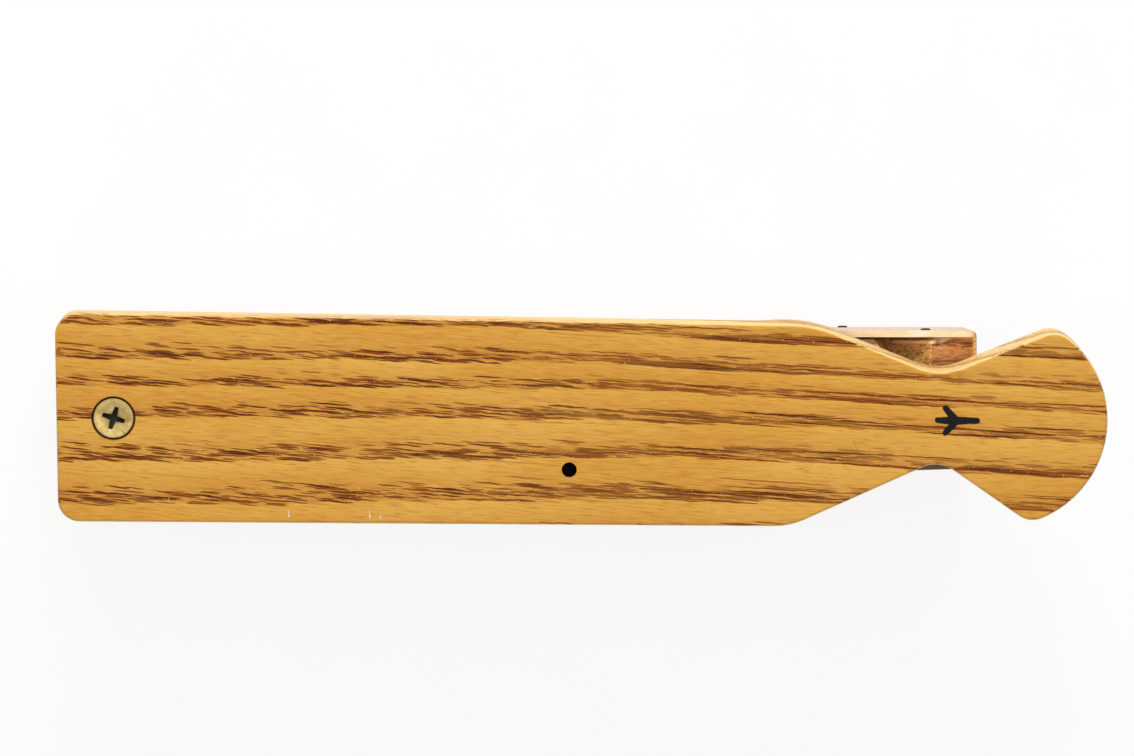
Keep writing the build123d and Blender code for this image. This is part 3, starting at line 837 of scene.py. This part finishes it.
SHARP_FROM = radians(35)
THREAD_PITCH = 0.0019
THREAD_ROOT = 0.00165
THREAD_CREST = 0.00237
THREAD_POINT = 0.005
THREAD_ROWS = 240
THREAD_SIDES = 40
# Where the thread's ridge ends and its root starts, as shares of the pitch from the crest
THREAD_FLANK = (0.06, 0.3)


def screw_thread(material):
    """A wood screw's thread, tapering to a gimlet point and closed at its upper end."""
    growth = Growth("wood_screw_thread", {
        "Pitch": THREAD_PITCH,
        "Root Radius": THREAD_ROOT,
        "Crest Radius": THREAD_CREST,
        "Point Length": THREAD_POINT,
        "Length": lid_under - screw_tip,
        "Rows": THREAD_ROWS,
        "Sides": THREAD_SIDES,
        "Tip": (pivot.x, pivot.y, screw_tip),
    })
    given = growth.given

    def height(side, rise):
        return growth.times(rise, given["Length"])

    def radius(side, rise):
        turns = growth.math("DIVIDE", height(side, rise), given["Pitch"])
        turns = growth.math("FRACT", growth.minus(turns, side))
        off_crest = growth.math("ABSOLUTE", growth.minus(turns, 0.5))
        ridge = growth.slide(off_crest, *THREAD_FLANK, given["Crest Radius"], given["Root Radius"])
        taper = growth.slide(height(side, rise), 0.0, given["Point Length"])
        closing = growth.slide(rise, 1 - 0.5 / THREAD_ROWS, 1.0, 1.0, 0.0)
        return growth.times(growth.times(ridge, taper), closing)

    thread = growth.turned(given["Sides"], given["Rows"], radius, height)
    return growth.grow("screw_thread", growth.moved(thread, given["Tip"]), material)


def screw_mesh(material):
    """The screw's head and plain shank down to the lid's underside, with a thread below."""
    shape = joined_copy("pivot_screw")
    everything = shape.verts[:] + shape.edges[:] + shape.faces[:]
    plane = {"plane_co": (0, 0, lid_under), "plane_no": (0, 0, 1)}
    bmesh.ops.bisect_plane(shape, geom=everything, **plane, clear_inner=True)
    bmesh.ops.holes_fill(shape, edges=open_edges(shape))
    thread = screw_thread(material)
    shape.from_mesh(thread)
    bpy.data.meshes.remove(thread)
    mesh = kept_mesh(shape, "wood_screw")
    mesh.materials.clear()
    mesh.materials.append(material)
    return crisp(mesh)


SPRING_WIRE = 0.00045
SPRING_COIL = 0.0036
SPRING_TURNS = 6.5
SPRING_POINTS = 320
SPRING_SIDES = 16
# How the wire climbs, as (share of its length, share of its height): its end turns lie closed
SPRING_CLIMB = ((0.0, 0.0), (0.115, 0.085), (0.885, 0.915), (1.0, 1.0))


def spring_mesh(material):
    """A coil of round wire, its end turns closed."""
    growth = Growth("coil_spring", {
        "Turns": SPRING_TURNS,
        "Coil Radius": SPRING_COIL,
        "Wire Radius": SPRING_WIRE,
        "Climb": spring_crest - spring_foot - 2 * SPRING_WIRE,
        "Points": SPRING_POINTS,
        "Sides": SPRING_SIDES,
        "Foot": (pivot.x, pivot.y, spring_foot + SPRING_WIRE),
    })
    given = growth.given
    line = growth.add("GeometryNodeCurvePrimitiveLine").outputs[0]
    values = {"Curve": line, "Count": given["Points"]}
    fine = growth.add("GeometryNodeResampleCurve", values).outputs[0]
    share = growth.add("GeometryNodeSplineParameter").outputs["Factor"]
    angle = growth.times(growth.times(share, given["Turns"]), 2 * pi)
    climb = growth.times(growth.curve(share, SPRING_CLIMB), given["Climb"])
    place = growth.around(angle, given["Coil Radius"], climb)
    coil = growth.add("GeometryNodeSetPosition", {0: fine, "Position": place}).outputs[0]
    values = {"Resolution": given["Sides"], "Radius": given["Wire Radius"]}
    section = growth.add("GeometryNodeCurvePrimitiveCircle", values).outputs[0]
    values = {"Curve": coil, "Profile Curve": section, "Fill Caps": True}
    wire = growth.add("GeometryNodeCurveToMesh", values).outputs[0]
    return growth.grow("coil_spring", growth.moved(wire, given["Foot"]), material)


# A brad's outline from its point to its domed head, as (radius, distance below the head's top)
BRAD_SHANK = 0.0008
BRAD_HEAD = 0.00115
BRAD_OUTLINE = (
    (0.0, None),
    (BRAD_SHANK, 0.0104),
    (BRAD_SHANK, 0.0011),
    (BRAD_HEAD, 0.00085),
    (BRAD_HEAD, 0.00024),
    (0.00107, 0.00013),
    (0.00083, 0.00005),
    (0.00045, 0.00001),
    (0.0, 0.0),
)
BRAD_SIDES = 28
# How far in a brad's end reaches, and the height between the low brads and the high ones
BRAD_END_DEPTH = 0.00025
BRAD_LEVEL = 0.015


def brad_lines(node):
    """The point and the head's middle of each brad in a node: one at either end, high and low."""
    groups = {}
    for vertex in nodes[node].data.vertices:
        key = (vertex.co.x > 0, vertex.co.z > BRAD_LEVEL)
        groups.setdefault(key, set()).add(tuple(round(value, 6) for value in vertex.co))
    for key in sorted(groups):
        reach = [abs(y) for x, y, z in groups[key]]
        ends = []
        for end in (min(reach), max(reach)):
            near = [spot for spot in groups[key] if abs(abs(spot[1]) - end) < BRAD_END_DEPTH]
            ends.append(sum(map(Vector, near), Vector()) / len(near))
        yield ends


def brads_mesh(name, node, material):
    """Steel brads with domed heads, one along each of a node's lines."""
    lines = list(brad_lines(node))
    start = bpy.data.meshes.new(name)
    start.from_pydata([tuple(tip) for tip, head in lines], [], [])
    aims = start.attributes.new("aim", "FLOAT_VECTOR", "POINT")
    for spot, (tip, head) in zip(aims.data, lines):
        spot.vector = head - tip
    length = (lines[0][1] - lines[0][0]).length
    rows = len(BRAD_OUTLINE)
    values = {"Head Radius": BRAD_HEAD, "Length": length, "Sides": BRAD_SIDES, "Rows": rows}
    growth = Growth(name, values)
    given = growth.given
    widths, heights = [], []
    for row, (radius, below) in enumerate(BRAD_OUTLINE):
        step = row / (rows - 1)
        widths.append((step, radius / BRAD_HEAD))
        heights.append((step, 0.0 if below is None else 1 - below / length))
    brad = growth.turned(
        given["Sides"],
        given["Rows"],
        lambda side, rise: growth.times(growth.curve(rise, widths), given["Head Radius"]),
        lambda side, rise: growth.times(growth.curve(rise, heights), given["Length"]),
    )
    aim = growth.add("GeometryNodeInputNamedAttribute", {"Name": "aim"}, data_type="FLOAT_VECTOR")
    values = {"Vector": aim.outputs[0]}
    turn = growth.add("FunctionNodeAlignRotationToVector", values, axis="Z").outputs[0]
    values = {"Points": given["Start"], "Instance": brad, "Rotation": turn}
    set_in = growth.add("GeometryNodeInstanceOnPoints", values).outputs[0]
    return growth.grow(name, set_in, material, start)


# The handle block's hand-cut notch, as (distance from the box's end, height from the block's top)
NOTCH_LINE = (
    (-0.036, -0.0008),
    (-0.02205, -0.0008),
    (-0.01995, -0.0075),
    (-0.01055, 0.0),
    (-0.009, 0.0),
)
# The cutter: where it starts and ends, its steps, how far from the far side they are fine, how
# many times larger the others are, and how far it stands past the block's sides and top
NOTCH_FROM = -0.034
NOTCH_TO = -0.0095
NOTCH_STEP = 0.00025
NOTCH_FINE = 0.006
NOTCH_COARSE = 3
NOTCH_PAST = 0.001
NOTCH_CLEAR = 0.005
# How far the shoulder is cut back beside the far side board, and how wide that cut is
SHOULDER_CUT = 0.0024
SHOULDER_WIDTH = 0.003
KERF_DEPTH = 0.0017
# How wide the kerf is along the notch, as (distance from the box's end, share of its full width)
KERF_LINE = (
    (-0.036, 0.45),
    (-0.0235, 0.45),
    (-0.02, 1.0),
    (-0.0145, 1.0),
    (-0.0108, 0.0),
    (-0.009, 0.0),
)
# How deep the knife's marks are, as (distance from the box's end, depth), and how unevenly
MARK_LINE = (
    (-0.036, -0.0001),
    (-0.028, 0.0),
    (-0.023, 0.00004),
    (-0.019, 0.00016),
    (-0.0125, 0.00016),
    (-0.0106, -0.0001),
)
MARK_SPREAD = 0.8


def along_line(points, x):
    """The height of a line of points at x, level past both ends."""
    for (x0, y0), (x1, y1) in zip(points, points[1:]):
        if x <= x1:
            return y0 + (y1 - y0) * max(0.0, (x - x0) / (x1 - x0))
    return points[-1][1]


def notch_level(face, x, y):
    """The carved notch's height at a place, with its shoulder, its kerf and the knife's marks."""
    normal, out = face
    reach = x - box_end
    level = along_line(NOTCH_LINE, reach)
    inward = out - normal.dot(Vector((x, y, handle_top + level)))
    near_wall = max(0.0, 1 - max(0.0, inward) / SHOULDER_WIDTH)
    level = min(level, along_line(NOTCH_LINE, reach + SHOULDER_CUT * near_wall))
    kerf = along_line(KERF_LINE, reach) * KERF_WIDTH / PER_METRE
    if kerf > 0 and inward < kerf:
        level -= KERF_DEPTH * min(1.0, 1 - inward / kerf)
    along, across, _ = [size / PER_METRE for size in TORN_FIBRES]
    torn = noise.noise(Vector((x / along, y / across, 0.0)))
    return handle_top + level - along_line(MARK_LINE, reach) * (1 + MARK_SPREAD * torn)


def notch_cutter(face):
    """What the knife takes away, from the carved notch's surface up to past the block's top."""
    far_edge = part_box("handle_block")[1].y + NOTCH_PAST
    near_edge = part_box("handle_block")[0].y - NOTCH_PAST
    steps = round((NOTCH_TO - NOTCH_FROM) / NOTCH_STEP)
    xs = [box_end + NOTCH_FROM + NOTCH_STEP * step for step in range(steps + 1)]
    ys = [far_edge - NOTCH_STEP * step for step in range(round(NOTCH_FINE / NOTCH_STEP))]
    coarse = NOTCH_COARSE * NOTCH_STEP
    steps = round((ys[-1] - near_edge) / coarse)
    ys += [ys[-1] - coarse * step for step in range(1, steps + 1)]
    shape = bmesh.new()
    rows = [[shape.verts.new((x, y, notch_level(face, x, y))) for y in ys] for x in xs]
    for row, other in zip(rows, rows[1:]):
        for side in range(len(ys) - 1):
            shape.faces.new((row[side], other[side], other[side + 1], row[side + 1]))
    raised = bmesh.ops.extrude_edge_only(shape, edges=open_edges(shape))["geom"]
    for item in raised:
        if isinstance(item, bmesh.types.BMVert):
            item.co.z = handle_top + NOTCH_CLEAR
    bmesh.ops.contextual_create(shape, geom=open_edges(shape))
    bmesh.ops.recalc_face_normals(shape, faces=shape.faces[:])
    return kept_mesh(shape, "notch_cutter")


def carved_block_mesh(face, material):
    """The handle block with its notch cut by hand."""
    blank = kept_mesh(joined_copy("handle_block"), "handle_blank")
    block = bpy.data.objects.new("handle_blank", blank)
    cutter = bpy.data.objects.new("notch_cutter", notch_cutter(face))
    for part in (block, cutter):
        scene.collection.objects.link(part)
    carving = block.modifiers.new("notch", "BOOLEAN")
    carving.operation = "DIFFERENCE"
    carving.solver = "EXACT"
    carving.object = cutter
    mesh = modified_mesh(block, material)
    bpy.data.objects.remove(cutter)
    return crisp(mesh)


cut_face = far_face("handle_block")
handle_wood = block_finish(
    "handle_block_wood", (0.2, 0.01, 0.0), 3.4, radians(25), handle_top, THUMB_NOTCH, cut_face
)
carved = carved_block_mesh(cut_face, handle_wood)
fitted("carved_handle_block", carved, "handle_block")
fitted("wood_screw", screw_mesh(screw_finish()), "pivot_screw")
spring_steel = steel_finish("spring_steel", screen(176, 176, 178), screen(110, 104, 98), 0.3)
fitted("coil_spring", spring_mesh(spring_steel), "pivot_spring")
for side in ("far", "near"):
    steel = steel_finish(f"{side}_brad_steel", screen(70, 60, 52), screen(38, 30, 25), 0.5)
    mesh = brads_mesh(f"{side}_domed_brads", f"{side}_side_brads", steel)
    fitted(f"{side}_domed_brads", mesh, f"{side}_side_brads")


# Floor, light and camera

PHOTO_WIDTH = 1134
PHOTO_HEIGHT = 756
PIXELS_PER_METRE = 4330
SCREW_PIXEL = (113.4, 418.2)
CAMERA_DISTANCE = 1.5
CAMERA_TILT = radians(6.3)
CAMERA_ROLL = radians(0.73)
SENSOR_WIDTH = 36.0
NEAREST_SEEN = 0.05
FLOOR_REACH = 3.0
FLOOR_WHITENESS = 0.86
PAPER_GREYS = ((0.88, 0.88, 0.88, 1), (0.91, 0.91, 0.91, 1))
PAPER_CLOUDS = (25, 25, 25)
ROOM_FILL = 0.32
LAMPS_AIM = (0.0, 0.0, 0.03)
# Each lamp's name, place, size and power in watts
LAMPS = (
    ("window_side", (0.05, 1.08, 0.64), (0.8, 0.4), 13.5),
    ("near_side", (-0.25, -1.15, 0.55), (1.0, 0.5), 4),
    ("overhead", (0.08, 0.3, 1.3), (1.2, 1.2), 6),
)


def pale_floor():
    """A sheet of paper that is almost white to the camera, and still takes the object's shadow."""
    mesh = bpy.data.meshes.new("studio_floor")
    far = FLOOR_REACH
    corners = [(-far, -far, 0), (far, -far, 0), (far, far, 0), (-far, far, 0)]
    mesh.from_pydata(corners, [], [(0, 1, 2, 3)])
    floor = bpy.data.objects.new("studio_floor", mesh)
    scene.collection.objects.link(floor)
    shader = Shader("pale_floor")
    paper = shader.noise(shader.place(), PAPER_CLOUDS, 2.0)
    tone = shader.blend(shader.spread(paper, 0.3, 0.7), *PAPER_GREYS)
    matt = shader.add("ShaderNodeBsdfDiffuse", {"Color": tone})
    white = shader.add("ShaderNodeEmission", {"Color": (1, 1, 1, 1), "Strength": 1.0})
    seen = shader.add("ShaderNodeLightPath").outputs["Is Camera Ray"]
    share = shader.times(seen, FLOOR_WHITENESS)
    mixed = shader.add("ShaderNodeMixShader", {0: share, 1: matt.outputs[0], 2: white.outputs[0]})
    mesh.materials.append(shader.finish(mixed.outputs[0]))


def soft_lamp(name, place, size, power):
    lamp = bpy.data.lights.new(name, "AREA")
    lamp.shape = "RECTANGLE"
    lamp.size, lamp.size_y = size
    lamp.energy = power
    holder = bpy.data.objects.new(name, lamp)
    holder.location = place
    holder.rotation_euler = (Vector(LAMPS_AIM) - Vector(place)).to_track_quat("-Z", "Y").to_euler()
    scene.collection.objects.link(holder)


def studio_world(fill):
    """An even white room: a soft fill on surfaces, plain white where it is seen or mirrored."""
    world = bpy.data.worlds.new("studio")
    scene.world = world
    world.use_nodes = True
    room = Graph(world.node_tree)
    path = room.add("ShaderNodeLightPath").outputs
    seen = path["Is Camera Ray"]
    for other in ("Is Glossy Ray", "Is Transmission Ray"):
        seen = room.math("MAXIMUM", seen, path[other])
    mixed = room.add("ShaderNodeMixShader", {0: seen})
    for slot, strength in ((1, fill), (2, 1.0)):
        values = {"Color": (1, 1, 1, 1), "Strength": strength}
        room.join(mixed.inputs[slot], room.add("ShaderNodeBackground", values).outputs[0])
    room.add("ShaderNodeOutputWorld", {"Surface": mixed.outputs[0]})


def photo_camera():
    """Looks down at the lid from a little to the far side, with the screw at the photo's place."""
    towards = Vector((0, sin(CAMERA_TILT), cos(CAMERA_TILT)))
    level_up = Vector((0, cos(CAMERA_TILT), -sin(CAMERA_TILT)))
    level_right = Vector((1, 0, 0))
    right = level_right * cos(CAMERA_ROLL) - level_up * sin(CAMERA_ROLL)
    up = level_up * cos(CAMERA_ROLL) + level_right * sin(CAMERA_ROLL)
    screw = Vector((pivot.x, pivot.y, lid_top))
    middle_right = (PHOTO_WIDTH / 2 - SCREW_PIXEL[0]) / PIXELS_PER_METRE
    middle_up = (SCREW_PIXEL[1] - PHOTO_HEIGHT / 2) / PIXELS_PER_METRE
    middle = screw + right * middle_right + up * middle_up
    camera = bpy.data.cameras.new("photo_camera")
    camera.sensor_width = SENSOR_WIDTH
    camera.lens = SENSOR_WIDTH * CAMERA_DISTANCE / (PHOTO_WIDTH / PIXELS_PER_METRE)
    camera.clip_start = NEAREST_SEEN
    holder = bpy.data.objects.new("photo_camera", camera)
    turn = Matrix((right, up, towards)).transposed().to_4x4()
    holder.matrix_world = Matrix.Translation(middle + towards * CAMERA_DISTANCE) @ turn
    scene.collection.objects.link(holder)
    scene.camera = holder


pale_floor()
studio_world(ROOM_FILL)
for lamp in LAMPS:
    soft_lamp(*lamp)
photo_camera()
scene.view_settings.view_transform = "Standard"
